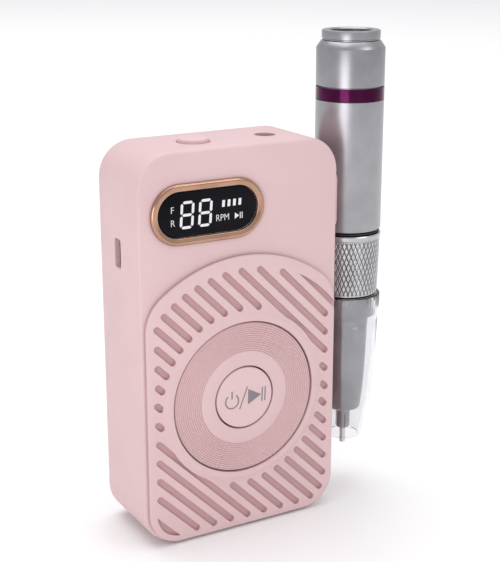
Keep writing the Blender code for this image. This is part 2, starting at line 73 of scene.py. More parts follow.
def new_material(name):
    """A new material, its node tree and its Principled shader."""
    material = bpy.data.materials.new(name)
    material.use_nodes = True
    return material, material.node_tree, material.node_tree.nodes["Principled BSDF"]


world = bpy.data.worlds.new("studio_world")
scene.world = world
world.use_nodes = True
soft_fill = world.node_tree.nodes["Background"]
wire(world.node_tree, soft_fill, Color=(0.98, 0.98, 1.0, 1.0), Strength=0.74)


def softbox(name, place, target, width, height, power):
    """A rectangular area lamp at a place, turned towards a target and out of the camera's sight."""
    lamp = bpy.data.lights.new(name, "AREA")
    lamp.shape = "RECTANGLE"
    lamp.size = width
    lamp.size_y = height
    lamp.energy = power
    holder = bpy.data.objects.new(name, lamp)
    scene.collection.objects.link(holder)
    holder.location = place
    aim = Vector(target) - Vector(place)
    holder.rotation_euler = aim.to_track_quat("-Z", "Y").to_euler()
    holder.visible_camera = False


softbox("overhead_softbox", (0.1, 0.8, 2.6), (0.1, 0.8, 0.0), 2.8, 2.8, 48.0)
softbox("high_front_softbox", (0.45, -0.70, 0.80), (0.0, 0.0, 0.07), 0.5, 0.4, 1.4)
softbox("left_strip_softbox", (-0.37, -0.33, 0.12), (0.03, 0.0, 0.09), 0.26, 0.24, 0.55)

hair_below = 0.0006
bpy.ops.object.select_all(action="DESELECT")
bpy.ops.mesh.primitive_plane_add(size=6.0, location=(0.0, 0.0, -hair_below))
floor = bpy.context.object
floor.name = "studio_floor"
floor_paint, tree, shader = new_material("studio_floor")
wire(tree, shader, Base_Color=(0.88, 0.88, 0.88, 1.0), Roughness=0.8)
floor.data.materials.append(floor_paint)

# ------------------------------
# Front shell: the front and sides of the box are one injection moulding in a
# blush pink plastic. Its rim is crisp at the front and well rounded at the
# back, where a stepped opening takes the cover.
# ------------------------------
MM = 0.001
merge_gap = 0.000002
box_width, box_height, box_corner = 78.0, 140.0, 12.5
box_middle = (0.0, box_height / 2)
dial_z = 50.0
screen = (-13.1, 118.8)
top_key_place = (-10.6, -1.8, box_height)
jack_x, jack_y = 17.7, -1.9
port_y, port_z = 0.2, 103.8


def start_clean():
    """Leaves edit mode and deselects everything before a new piece is begun."""
    if bpy.context.object is not None and bpy.context.mode != "OBJECT":
        bpy.ops.object.mode_set(mode="OBJECT")
    bpy.ops.object.select_all(action="DESELECT")


def pick(piece):
    """Makes a piece the only one selected, and active."""
    start_clean()
    piece.select_set(True)
    bpy.context.view_layer.objects.active = piece


def settle(piece, place, turn=0.0):
    """Moves a piece to a place in mm, turned about Z in degrees, and writes both into its mesh."""
    piece.rotation_euler = (0.0, 0.0, math.radians(turn))
    piece.location = [c * MM for c in place]
    pick(piece)
    bpy.ops.object.transform_apply(location=True, rotation=True, scale=True)


def draw_profile(points, closed):
    """Draws a profile of (x, y, z) points in mm by extruding one vertex, in edit mode."""
    start_clean()
    bpy.ops.mesh.primitive_plane_add(size=MM, location=(0.0, 0.0, 0.0))
    bpy.ops.object.mode_set(mode="EDIT")
    bpy.ops.mesh.merge(type="CENTER")
    bpy.ops.transform.translate(value=[c * MM for c in points[0]])
    for before, after in zip(points, points[1:]):
        step = [(b - a) * MM for a, b in zip(before, after)]
        bpy.ops.mesh.extrude_region_move(TRANSFORM_OT_translate={"value": step})
    bpy.ops.mesh.select_all(action="SELECT")
    if closed:
        work = bmesh.from_edit_mesh(bpy.context.object.data)
        ends = [v for v in work.verts if len(v.link_edges) == 1]
        bpy.ops.mesh.select_all(action="DESELECT")
        for vertex in ends:
            vertex.select_set(True)
        bpy.ops.mesh.edge_face_add()
        bpy.ops.mesh.select_all(action="SELECT")
    return bpy.context.object


def close_up(piece, name):
    """Merges seams, fills what is open, turns faces outwards and leaves edit mode."""
    bpy.ops.mesh.select_all(action="SELECT")
    bpy.ops.mesh.remove_doubles(threshold=merge_gap)
    bpy.ops.mesh.fill_holes(sides=0)
    bpy.ops.mesh.select_all(action="SELECT")
    bpy.ops.mesh.normals_make_consistent(inside=False)
    bpy.ops.object.mode_set(mode="OBJECT")
    piece.name = name
    piece.data.name = name
    bpy.ops.object.transform_apply(location=True, rotation=True, scale=True)
    bpy.ops.object.shade_smooth_by_angle(angle=math.radians(35))
    return piece


def round_rail(name, profile, width, height, radius, middle, steps=12, closed=False):
    """Carries a profile of (outset, y) round an upright rounded rectangle facing -Y."""
    cx, cz = middle
    reach = height / 2 - radius
    span = width / 2 - radius
    piece = draw_profile([(cx + width / 2 + o, y, cz - reach) for o, y in profile], closed)
    moves = ((0, 0, 2 * reach), (-2 * span, 0, 0), (0, 0, -2 * reach), (2 * span, 0, 0))
    turns = ((1, 1), (-1, 1), (-1, -1), (1, -1))
    for move, (sx, sz) in zip(moves, turns):
        if max(abs(c) for c in move) > 0.001:
            bpy.ops.mesh.extrude_region_move(
                TRANSFORM_OT_translate={"value": [c * MM for c in move]}
            )
        centre = ((cx + sx * span) * MM, 0.0, (cz + sz * reach) * MM)
        bpy.ops.mesh.spin(
            steps=steps, angle=math.radians(90), center=centre, axis=(0.0, 1.0, 0.0)
        )
    return close_up(piece, name)


def turned_piece(name, profile, centre, steps=96, towards="up", closed=False):
    """Turns a profile of (radius, height) points right round an axis through a centre.

    Height runs up, or towards the front for a piece that faces -Y.
    """
    piece = draw_profile([(r, 0.0, h) for r, h in profile], closed)
    bpy.ops.mesh.spin(
        steps=steps, angle=math.tau, center=(0.0, 0.0, 0.0), axis=(0.0, 0.0, 1.0)
    )
    bpy.ops.mesh.select_all(action="SELECT")
    bpy.ops.mesh.remove_doubles(threshold=merge_gap)
    bpy.ops.object.mode_set(mode="OBJECT")
    if towards == "front":
        piece.rotation_euler = (math.radians(90), 0.0, 0.0)
    piece.location = [c * MM for c in centre]
    bpy.ops.object.transform_apply(location=True, rotation=True, scale=True)
    bpy.ops.object.mode_set(mode="EDIT")
    return close_up(piece, name)


def round_cutter(radius, above, below, centre, steps, towards="up"):
    """A round cutter that reaches above and below its centre, in mm."""
    profile = [(0.0, above), (radius, above), (radius, -below), (0.0, -below)]
    return turned_piece("tool", profile, centre, steps, towards)


def fillet(cx, cy, radius, start, end, count):
    """Points of a rounded corner, angles in degrees, for a profile."""
    points = []
    for i in range(count + 1):
        angle = math.radians(start + (end - start) * i / count)
        points.append((cx + radius * math.cos(angle), cy + radius * math.sin(angle)))
    return points


def apply_modifier(piece, modifier):
    """Applies a modifier, so that its result is in the mesh."""
    pick(piece)
    bpy.ops.object.modifier_apply(modifier=modifier.name)


def join_or_cut(piece, tool, operation="DIFFERENCE"):
    """Cuts the tool's shape out of a piece, or joins it on, and removes the tool."""
    modifier = piece.modifiers.new("shape", "BOOLEAN")
    modifier.operation = operation
    modifier.solver = "EXACT"
    modifier.object = tool
    apply_modifier(piece, modifier)
    bpy.data.objects.remove(tool, do_unlink=True)


def ease_edges(piece, width, segments=2, angle=40.0):
    """Rounds every edge sharper than the angle, so that it catches a line of light."""
    modifier = piece.modifiers.new("edges", "BEVEL")
    modifier.limit_method = "ANGLE"
    modifier.angle_limit = math.radians(angle)
    modifier.width = width * MM
    modifier.segments = segments
    modifier.harden_normals = True
    modifier.miter_outer = "MITER_ARC"
    apply_modifier(piece, modifier)


shell_profile = (
    fillet(-1.2, -15.3, 1.2, -90, 0, 4)
    + fillet(-3.0, 13.5, 3.0, 0, 90, 7)
    + [(-5.5, 16.5), (-5.5, 13.9), (-8.0, 13.9), (-8.0, 12.2), (-2.2, 12.2), (-2.2, -14.3)]
)
shell = round_rail(
    "moulded_shell", shell_profile, box_width, box_height, box_corner, box_middle, 14
)
join_or_cut(shell, round_cutter(15.4, 4.0, 4.0, (0.0, -16.0, dial_z), 64, "front"))
join_or_cut(shell, round_rail("tool", [(0.0, -20.0), (0.0, -12.0)], 37.9, 15.7, 7.85, screen, 12))
join_or_cut(shell, round_cutter(5.8, 4.0, 5.0, top_key_place, 48))
join_or_cut(shell, round_cutter(3.7, 4.0, 5.0, (jack_x, jack_y, box_height), 48))
port_slot = round_rail("tool", [(0.0, -5.0), (0.0, 5.0)], 4.8, 10.2, 1.0, (0.0, 0.0), 6)
settle(port_slot, (-38.0, port_y, port_z), 90)
join_or_cut(shell, port_slot)
ease_edges(shell, 0.28, 3)


def new_group(name, inputs, outputs):
    """An empty shader node group with named float inputs and named outputs."""
    group = bpy.data.node_groups.new(name, "ShaderNodeTree")
    for label, value in inputs:
        socket = group.interface.new_socket(
            name=label, in_out="INPUT", socket_type="NodeSocketFloat"
        )
        socket.default_value = value
    for label, kind in outputs:
        group.interface.new_socket(name=label, in_out="OUTPUT", socket_type=kind)
    return group, group.nodes.new("NodeGroupInput"), group.nodes.new("NodeGroupOutput")


def add_node(tree, kind, *in_order, operation=None, **by_name):
    """Adds a shader node of a kind, with its inputs set as wire sets them."""
    node = tree.nodes.new("ShaderNode" + kind)
    if operation:
        node.operation = operation
    return wire(tree, node, *in_order, **by_name)


def own_place(tree):
    """The piece's own coordinates, as a socket."""
    return add_node(tree, "TexCoord").outputs["Object"]


def two_tones(tree, factor, deep, light, start=0.0, end=1.0):
    """A ramp from a deep to a light tone, as a colour socket."""
    ramp = add_node(tree, "ValToRGB", Fac=factor)
    for element, position, colour in zip(ramp.color_ramp.elements, (start, end), (deep, light)):
        element.position = position
        element.color = (*colour, 1.0)
    return ramp.outputs["Color"]


def between(tree, factor, low, high, start=0.0, end=1.0):
    """A value that runs from low to high as the factor runs from start to end."""
    node = add_node(
        tree, "MapRange", Value=factor, From_Min=start, From_Max=end, To_Min=low, To_Max=high
    )
    return node.outputs["Result"]


def placed_group(tree, group, **by_name):
    """A shared effect placed in a material with its own values."""
    node = tree.nodes.new("ShaderNodeGroup")
    node.node_tree = group
    return wire(tree, node, **by_name)


# Moulded skin: fine spark-eroded grain, a slow waviness and a little handling polish.
moulded_skin, skin_in, skin_out = new_group(
    "moulded_skin",
    (("Grain per metre", 5200.0), ("Grain depth", 0.12), ("Wave", 0.05)),
    (("Tone", "NodeSocketFloat"), ("Polish", "NodeSocketFloat"), ("Normal", "NodeSocketVector")),
)
place = own_place(moulded_skin)
grain = add_node(
    moulded_skin, "TexNoise", Vector=place, Scale=skin_in.outputs["Grain per metre"], Detail=3.0
)
drift = add_node(moulded_skin, "TexNoise", Vector=place, Scale=38.0, Detail=2.0)
handling = add_node(
    moulded_skin, "TexNoise", Vector=place, Scale=95.0, Detail=5.0, Roughness=0.62
)
grain_bump = add_node(
    moulded_skin, "Bump", Distance=0.00003, Strength=skin_in.outputs["Grain depth"],
    Height=grain.outputs["Fac"],
)
wave_bump = add_node(
    moulded_skin, "Bump", Distance=0.0004, Strength=skin_in.outputs["Wave"],
    Height=drift.outputs["Fac"], Normal=grain_bump.outputs["Normal"],
)
wire(
    moulded_skin, skin_out, Tone=drift.outputs["Fac"], Polish=handling.outputs["Fac"],
    Normal=wave_bump.outputs["Normal"],
)


def moulded_plastic(name, deep, light, rough=(0.42, 0.54), grain=(5200.0, 0.12, 0.05), **fixed):
    """A moulded plastic: two tones of one colour, a range of roughness and the skin's grain."""
    material, tree, shader = new_material(name)
    per_metre, depth, wave = grain
    skin = placed_group(
        tree, moulded_skin, Grain_per_metre=per_metre, Grain_depth=depth, Wave=wave
    )
    wire(
        tree, shader,
        Base_Color=two_tones(tree, skin.outputs["Tone"], deep, light, 0.3, 0.7),
        Roughness=between(tree, skin.outputs["Polish"], *rough, 0.3, 0.7),
        Normal=skin.outputs["Normal"],
        **fixed,
    )
    return material


def dress(piece, material, body, node=None):
    """Gives a finished piece its material, its body and the CAD node it stands for."""
    piece.data.materials.clear()
    piece.data.materials.append(material)
    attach(piece, body)
    if node:
        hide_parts(node)


blush = moulded_plastic("blush_plastic", (0.645, 0.452, 0.462), (0.675, 0.478, 0.488))
dress(shell, blush, "control_box", "front_shell")

# ------------------------------
# Back cover: a flat lid of the same moulding, let into the shell's rebate. It
# has four counterbores for its screws.
# ------------------------------
back_y = 16.5
cover_profile = [(-5.85, 14.2), (-5.85, 16.1)] + fillet(-6.25, 16.1, 0.4, 0, 90, 3)
cover = round_rail(
    "rear_cover", cover_profile, box_width, box_height, box_corner, box_middle, 10
)
screw_places = ((-26.5, 13.5), (26.5, 13.5), (-26.5, 126.5), (26.5, 126.5))
seat_profile = [(0.0, -1.0), (2.7, -1.0), (2.7, 1.3), (1.35, 1.3), (1.35, 3.0), (0.0, 3.0)]
for x, z in screw_places:
    join_or_cut(cover, turned_piece("tool", seat_profile, (x, back_y, z), 32, "front"))
ease_edges(cover, 0.15, 2, 50.0)
dress(cover, blush, "control_box", "back_cover")

# ------------------------------
# Cover screws: four zinc-plated cross-head screws, sunk in the counterbores. One
# is turned and cut, and the others are copies of it.
# ------------------------------
# Turned metal: rings left by the lathe, run along the part, with faint handling haze.
lathe_marks, marks_in, marks_out = new_group(
    "lathe_marks",
    (("Rings per metre", 2600.0), ("Ring depth", 0.2), ("Across", 60.0)),
    (("Haze", "NodeSocketFloat"), ("Normal", "NodeSocketVector")),
)
place = own_place(lathe_marks)
across = marks_in.outputs["Across"]
spread = add_node(
    lathe_marks, "CombineXYZ", X=across, Y=across, Z=marks_in.outputs["Rings per metre"]
)
stretch = add_node(lathe_marks, "VectorMath", place, spread.outputs["Vector"], operation="MULTIPLY")
rings = add_node(
    lathe_marks, "TexNoise", Vector=stretch.outputs["Vector"], Scale=1.0, Detail=3.0
)
haze = add_node(lathe_marks, "TexNoise", Vector=place, Scale=140.0, Detail=4.0)
ring_bump = add_node(
    lathe_marks, "Bump", Distance=0.00002, Strength=marks_in.outputs["Ring depth"],
    Height=rings.outputs["Fac"],
)
wire(lathe_marks, marks_out, Haze=haze.outputs["Fac"], Normal=ring_bump.outputs["Normal"])


def turned_metal(name, dull, bright, rough, marks=(2600.0, 0.2, 60.0)):
    """A machined metal: two close tones, a range of roughness and the lathe's rings."""
    material, tree, shader = new_material(name)
    per_metre, depth, across = marks
    finish = placed_group(
        tree, lathe_marks, Rings_per_metre=per_metre, Ring_depth=depth, Across=across
    )
    wire(
        tree, shader,
        Metallic=1.0,
        Base_Color=two_tones(tree, finish.outputs["Haze"], dull, bright, 0.35, 0.62),
        Roughness=between(tree, finish.outputs["Haze"], *rough, 0.3, 0.7),
        Normal=finish.outputs["Normal"],
    )
    return material


def block(name, low, high):
    """A rectangular tool or blank between two corners in mm."""
    start_clean()
    middle = [(a + b) / 2 * MM for a, b in zip(low, high)]
    bpy.ops.mesh.primitive_cube_add(size=1.0, location=middle)
    piece = bpy.context.object
    piece.scale = [(b - a) * MM for a, b in zip(low, high)]
    bpy.ops.object.transform_apply(location=True, rotation=True, scale=True)
    piece.name = name
    return piece


zinc = turned_metal("zinc_plated_steel", (0.50, 0.50, 0.52), (0.66, 0.66, 0.67), (0.22, 0.34))
screw_profile = [(0.0, 0.15), (1.75, 0.15)] + fillet(1.75, 0.75, 0.6, -90, 0, 4)
screw_profile += [(2.35, 1.05), (1.0, 1.05), (1.0, 7.8), (0.6, 8.6), (0.0, 8.6)]
model_screw = turned_piece("cover_screw", screw_profile, (0.0, back_y, 0.0), 32, "front")
for turn in (0.0, 90.0):
    slot_blade = block("tool", (-1.35, 15.8, -0.22), (1.35, 17.0, 0.22))
    slot_blade.rotation_euler = (0.0, math.radians(turn + 20.0), 0.0)
    join_or_cut(model_screw, slot_blade)
for number, (x, z) in enumerate(screw_places, 1):
    pick(model_screw)
    bpy.ops.object.duplicate()
    screw = bpy.context.object
    screw.name = f"cross_head_screw_{number}"
    settle(screw, (x, 0.0, z))
    dress(screw, zinc, "control_box", f"cover_screw_{number}")
bpy.data.objects.remove(model_screw, do_unlink=True)

# ------------------------------
# Grille panel: a second moulding laid on the front, arched over the dial. Its
# slanting slots are blind; a low raised ring runs round the dial's opening.
# ------------------------------
panel_front = -18.3
arch, shoulder, half_width, foot = 52.0, 15.0, 37.65, 12.0
shoulder_x = half_width - shoulder
shoulder_z = dial_z + math.sqrt((arch - shoulder) ** 2 - shoulder_x**2)
lean = math.degrees(math.atan2(shoulder_z - dial_z, shoulder_x))
panel_outline = (
    fillet(half_width - foot, 0.4 + foot, foot, -90, 0, 14)
    + fillet(shoulder_x, shoulder_z, shoulder, 0, lean, 10)
    + fillet(0.0, dial_z, arch, lean, 180 - lean, 40)[1:-1]
    + fillet(-shoulder_x, shoulder_z, shoulder, 180 - lean, 180, 10)
    + fillet(foot - half_width, 0.4 + foot, foot, 180, 270, 14)
)


def flat_shape(name, outlines, low, high, rounding=0.0):
    """Flat outlines of (x, z) points in mm, filled and given a thickness from y low to high."""
    start_clean()
    curve = bpy.data.curves.new(name, "CURVE")
    curve.dimensions = "2D"
    curve.fill_mode = "BOTH"
    curve.extrude = ((high - low) / 2 - rounding) * MM
    curve.bevel_depth = rounding * MM
    curve.bevel_resolution = 3
    curve.offset = -rounding * MM
    for outline in outlines:
        spline = curve.splines.new("POLY")
        spline.points.add(len(outline) - 1)
        for point, (x, z) in zip(spline.points, outline):
            point.co = (x * MM, z * MM, 0.0, 1.0)
        spline.use_cyclic_u = True
    piece = bpy.data.objects.new(name, curve)
    scene.collection.objects.link(piece)
    piece.location = (0.0, (low + high) / 2 * MM, 0.0)
    piece.rotation_euler = (math.radians(90), 0.0, 0.0)
    piece.select_set(True)
    bpy.context.view_layer.objects.active = piece
    bpy.ops.object.convert(target="MESH")
    piece = bpy.context.object
    bpy.ops.object.transform_apply(location=True, rotation=True, scale=True)
    bpy.ops.object.mode_set(mode="EDIT")
    bpy.ops.mesh.select_all(action="SELECT")
    bpy.ops.mesh.remove_doubles(threshold=merge_gap)
    bpy.ops.mesh.dissolve_limited(angle_limit=math.radians(0.3))
    return close_up(piece, name)


panel = flat_shape("slotted_panel", [panel_outline], panel_front, -16.75, 0.5)
ring_profile = [(27.4, -0.9), (31.6, -0.9), (31.6, -0.1)] + fillet(30.0, -1.2, 1.5, 50, 88, 4)
ring_profile += [(28.9, 0.3), (27.4, 0.3)]
panel_middle = (0.0, panel_front, dial_z)
join_or_cut(
    panel, turned_piece("tool", ring_profile, panel_middle, 128, "front", True), "UNION"
)

slot_half = 1.2
slot_pitch = 6.95
first_slot = 50.4
ring_outside = 32.0
arch_inside = 47.9
shortest = 1.4
foot_middle = (25.5, 12.1)
foot_inside = 9.5


def slot_may_run(x, z):
    """Says whether a slot's middle line may pass here, clear of the rim."""
    foot_x, foot_z = foot_middle
    if abs(x) > 35.0 - slot_half or z < 2.6 + slot_half:
        return False
    if z > dial_z and math.hypot(x, z - dial_z) > arch_inside - slot_half:
        return False
    if abs(x) > foot_x and z < foot_z:
        return math.hypot(abs(x) - foot_x, z - foot_z) <= foot_inside - slot_half
    return True


def slot_outline(start, last, total):
    """A slanting slot with round ends, from x start to x last on the line x + z = total.

    Where it passes close to the dial's ring it is pushed out round it.
    """
    count = max(1, int((last - start) / 2.5))
    lift = slot_half / math.sqrt(2)
    shape = fillet(last, total - last, slot_half, -135, 45, 10)
    for k in range(1, count):
        x = last + (start - last) * k / count
        shape.append((x + lift, total - x + lift))
    shape += fillet(start, total - start, slot_half, 45, 225, 10)
    for k in range(1, count):
        x = start + (last - start) * k / count
        shape.append((x - lift, total - x - lift))
    eased = []
    for x, z in shape:
        push = max(1.0, ring_outside / math.hypot(x, z - dial_z))
        eased.append((x * push, dial_z + (z - dial_z) * push))
    return eased


slot_shapes = []
for n in range(-10, 9):
    total = first_slot + slot_pitch * (n + 0.5)
    skirts = abs(total - dial_z) / math.sqrt(2) > ring_outside - slot_half
    start = last = None
    for i in range(-1500, 1501):
        x = total / 2 - dial_z / 2 + i * 0.04
        z = total - x
        clear_of_ring = skirts or math.hypot(x, z - dial_z) > ring_outside + slot_half
        if slot_may_run(x, z) and clear_of_ring:
            start = x if start is None else start
            last = x
        elif start is not None:
            if last - start < shortest:
                middle = (start + last) / 2
                start, last = middle - shortest / 2, middle + shortest / 2
            slot_shapes.append(slot_outline(start, last, total))
            start = None
# The corner slots are leaves, cut off by a chord of the arch and of the foot's corner.
last_cut = 114.1
chord_angle = 0.9 * math.degrees(math.acos((last_cut - dial_z) / math.sqrt(2) / arch_inside))
slot_shapes.append(
    fillet(0.0, dial_z, arch_inside, 45 - chord_angle, 45 + chord_angle, 18)
)
slot_shapes.append(fillet(-foot_middle[0], foot_middle[1], foot_inside, 184, 266, 16))
join_or_cut(panel, flat_shape("tool", slot_shapes, panel_front - 1.0, panel_front + 1.2))
join_or_cut(panel, round_cutter(28.15, 4.0, 4.0, panel_middle, 128, "front"))
ease_edges(panel, 0.22, 2, 50.0)


def mixed_colour(tree, factor, first, second):
    """A mix of two colours, as a colour socket."""
    node = tree.nodes.new("ShaderNodeMix")
    node.data_type = "RGBA"
    return wire(tree, node, Factor=factor, A=first, B=second).outputs["Result"]


def painted_recess_shade(material, name, front, depth, deep):
    """A copy of a moulded material with painted shade: it turns to a deeper tone below its front
    face, where recesses lie in shade, y in mm.
    """
    copied = material.copy()
    copied.name = name
    tree = copied.node_tree
    shader = tree.nodes["Principled BSDF"]
    face_tone = shader.inputs["Base Color"].links[0].from_socket
    inward = add_node(tree, "SeparateXYZ", own_place(tree)).outputs["Y"]
    # Painted shade: the colour deepens with depth behind the front face and stands in for the shade
    # in recesses.
    shade_by_depth = between(tree, inward, 0.0, 1.0, front * MM, (front + depth) * MM)
    wire(tree, shader, Base_Color=mixed_colour(tree, shade_by_depth, face_tone, (*deep, 1.0)))
    return copied


# Painted shade: the slots' walls and floors, and the panel's edges behind its face, take a deeper
# pink that stands in for the shade in them.
panel_blush = painted_recess_shade(
    blush, "panel_blush_with_painted_shade", panel_front + 0.15, 0.7, (0.555, 0.345, 0.358)
)
dress(panel, panel_blush, "control_box", "grille_panel")

# ------------------------------
# Display bezel: a rose gold plated metal ring, pressed into the front round the
# window. It is polished, with a soft outer shoulder and a crisp inner lip.
# ------------------------------
bezel_profile = fillet(-0.9, -17.1, 0.9, 0, -90, 7)
bezel_profile += fillet(-1.15, -17.5, 0.5, -90, -112, 3) + [(-2.3, -17.52)]
bezel_profile += fillet(-2.3, -17.27, 0.25, -110, -180, 3) + [(-2.58, -16.75), (0.0, -16.75)]
bezel = round_rail("rose_gold_bezel", bezel_profile[::-1], 43.0, 21.0, 10.5, screen, 24, True)
rose_gold = turned_metal(
    "rose_gold_plate", (0.42, 0.245, 0.17), (0.49, 0.29, 0.205), (0.14, 0.18), (900.0, 0.02, 400.0)
)
dress(bezel, rose_gold, "control_box", "display_bezel")

# ------------------------------
# Display window: a near-black polished acrylic lens with round ends, glued in
# behind the bezel's lip.
# ------------------------------
window_profile = [(0.0, -14.5), (0.0, -16.9)] + fillet(-0.2, -16.9, 0.2, 0, -90, 3)
window = round_rail("smoked_window", window_profile, 37.2, 15.0, 7.5, screen, 20)
smoked = moulded_plastic(
    "smoked_acrylic", (0.004, 0.004, 0.006), (0.009, 0.008, 0.011), (0.05, 0.10),
    (900.0, 0.02, 0.01), IOR=1.15,
)
dress(window, smoked, "control_box", "display_window")

# ------------------------------
# Display figures: two slanting figures, a speed bar, the play and pause marks and
# small capitals. They glow, as a fine raised layer just proud of the window.
# ------------------------------
slant = math.tan(math.radians(4.0))
digit_low, small_low, letter_height = 113.9, 115.1, 2.3


def segment_digit(left, low, width, height, bar):
    """Outlines of an eight drawn as seven pointed bars, leaning a little to the right."""
    gap = 0.26
    right = left + width
    high = low + height
    middle = (low + high) / 2
    half = bar / 2

    def across(z):
        return [
            (left + half + gap, z), (left + bar + gap, z + half), (right - bar - gap, z + half),
            (right - half - gap, z), (right - bar - gap, z - half), (left + bar + gap, z - half),
        ]

    def upright(x, z0, z1):
        return [
            (x, z0 + gap), (x + half, z0 + gap + half), (x + half, z1 - gap - half),
            (x, z1 - gap), (x - half, z1 - gap - half), (x - half, z0 + gap + half),
        ]

    shapes = [across(low + half), across(middle), across(high - half)]
    for x in (left + half, right - half):
        shapes += [upright(x, low + half, middle), upright(x, middle, high - half)]
    return [[(x + (z - low) * slant, z) for x, z in shape] for shape in shapes]


def rectangle(left, low, width, height, lean=0.0):
    """An upright bar's outline, leaning to the right."""
    return [
        (left, low), (left + width, low), (left + width + lean * height, low + height),
        (left + lean * height, low + height),
    ]


figures = []
for left in (-24.0, -17.15):
    figures += segment_digit(left, digit_low, 5.1, 9.4, 0.92)
figures += [rectangle(x, 119.8, 1.05, 2.3, slant) for x in (-7.95, -5.85, -3.75, -1.65)]
figures.append([(-3.0, small_low), (-1.35, 116.2), (-3.0, 117.3)])
figures += [rectangle(x, small_low, 0.3, 2.2) for x in (-1.05, -0.3)]
glow_layer = flat_shape("display_figures", figures, -17.14, -17.02)


def lettering(name, text, left, low, height, squeeze):
    """A few plain capitals as a thin mesh on the window, set by their lower left corner."""
    capital_share = 0.70
    start_clean()
    bpy.ops.object.text_add(location=(0.0, 0.0, 0.0))
    letters = bpy.context.object
    letters.data.body = text
    letters.data.size = height / capital_share * MM
    letters.data.extrude = 0.06 * MM
    letters.data.resolution_u = 4
    letters.data.offset = -0.035 * MM
    bpy.ops.object.convert(target="MESH")
    letters = bpy.context.object
    letters.scale = (squeeze, 1.0, 1.0)
    letters.rotation_euler = (math.radians(90), 0.0, 0.0)
    letters.location = (left * MM, -17.08 * MM, low * MM)
    bpy.ops.object.transform_apply(location=True, rotation=True, scale=True)
    bpy.ops.object.mode_set(mode="EDIT")
    return close_up(letters, name)


glow, tree, shader = new_material("lit_figures")
mottle = add_node(tree, "TexNoise", Vector=own_place(tree), Scale=420.0)
lit = two_tones(tree, mottle.outputs["Fac"], (0.50, 0.49, 0.51), (0.62, 0.61, 0.64))
wire(tree, shader, Base_Color=lit, Emission_Color=lit, Emission_Strength=0.4, Roughness=0.4)
dress(glow_layer, glow, "control_box", None)
for name, text, left, low, squeeze in (
    ("forward_letter", "F", -27.3, 119.6, 0.9),
    ("reverse_letter", "R", -27.4, 115.2, 0.9),
    ("speed_unit_letters", "RPM", -10.4, small_low, 0.86),
):
    letters = lettering(name, text, left, low, letter_height, squeeze)
    dress(letters, glow, "control_box", None)

# ------------------------------
# Speed dial: a flat blush knob with fine rings turned in its face, so that a
# finger grips it. Its hub runs in the shell's bore.
# ------------------------------
front_of_shell = (0.0, -16.5, dial_z)
first_ring, ring_pitch, ring_count = 17.35, 0.78, 13
trough_height, crest_height = 1.58, 1.95
dial_profile = [(11.75, 1.6)] + fillet(12.1, 1.65, 0.35, 180, 90, 3) + [(16.9, 2.0), (17.15, 1.9)]
for k in range(ring_count):
    trough = first_ring + ring_pitch * k
    dial_profile += [(trough, trough_height), (trough + 0.14, trough_height)]
    dial_profile += [(trough + 0.4, crest_height), (trough + 0.54, crest_height)]
dial_profile += [(27.45, 1.6), (27.65, 1.2), (27.65, 0.3), (15.0, 0.3), (15.0, -7.2), (11.75, -7.2)]
dial = turned_piece("ringed_dial", dial_profile, front_of_shell, 160, "front", True)
# Painted shade: the troughs between the dial's rings, its inner step and its outer edge take a
# deeper pink that stands in for the shade in them.
dial_blush = painted_recess_shade(blush, "dial_blush_with_painted_shade", -18.4, 0.35, (0.615, 0.41, 0.42))
dress(dial, dial_blush, "dial", "speed_dial")

# ------------------------------
# Dial clip: a spring-steel ring with a gap, snapped on the hub behind the wall
# to hold the dial in its bore.
# ------------------------------
clip_profile = [(15.3, -2.5), (18.2, -2.5), (18.4, -2.7), (18.4, -3.5), (18.2, -3.7), (15.3, -3.7)]
clip = turned_piece("dial_clip", clip_profile, front_of_shell, 96, "front", True)
join_or_cut(clip, block("tool", (-2.2, -14.6, 30.0), (2.2, -12.2, 37.0)))
spring_steel = turned_metal("spring_steel", (0.30, 0.30, 0.32), (0.42, 0.42, 0.44), (0.26, 0.4))
dress(clip, spring_steel, "dial", "dial_retainer")

# ------------------------------
# Power and pause key: a shallow round blush button in the middle of the dial,
# printed in grey with a power sign, a stroke, and play and pause marks.
# ------------------------------
key_profile = [(0.0, 2.08), (10.6, 2.08)] + fillet(10.7, 1.58, 0.5, 80, 0, 4)
key_profile += [(11.2, -7.5), (13.0, -7.5), (13.0, -8.5), (2.2, -8.5), (2.2, -10.0), (0.0, -10.0)]
key = turned_piece("centre_key", key_profile, front_of_shell, 96, "front")
key_plastic = moulded_plastic(
    "key_plastic", (0.675, 0.475, 0.486), (0.705, 0.50, 0.512), (0.38, 0.5), (5200.0, 0.08, 0.04)
)
dress(key, key_plastic, "power_key", "power_button")


def stroke(x0, z0, x1, z1, width):
    """A straight printed line with round ends, as one outline about the dial's middle."""
    along = math.degrees(math.atan2(z1 - z0, x1 - x0))
    outline = fillet(x1, z1, width / 2, along - 90, along + 90, 8)
    return outline + fillet(x0, z0, width / 2, along + 90, along + 270, 8)


sign_x, sign_z = -5.2, -0.6
power_sign = fillet(sign_x, sign_z, 2.85, 128, 412, 44) + fillet(sign_x, sign_z, 2.35, 412, 128, 44)
marks = [power_sign, stroke(sign_x, 0.5, sign_x, 3.0, 0.5), stroke(1.0, 3.8, -2.1, -3.9, 0.42)]
marks.append(stroke(6.95, -2.5, 7.15, 2.5, 0.45))
marks.append(stroke(8.15, -2.5, 8.35, 2.5, 0.45))
marks = [[(x, z + dial_z) for x, z in mark] for mark in marks]
marks.append([(1.2, dial_z - 2.9), (6.6, dial_z), (1.4, dial_z + 2.9)])
print_marks = flat_shape("key_print", marks, -18.645, -18.56)
grey_ink = moulded_plastic(
    "grey_ink", (0.19, 0.18, 0.19), (0.235, 0.225, 0.235), (0.5, 0.62), (9000.0, 0.05, 0.0)
)
dress(print_marks, grey_ink, "power_key", None)

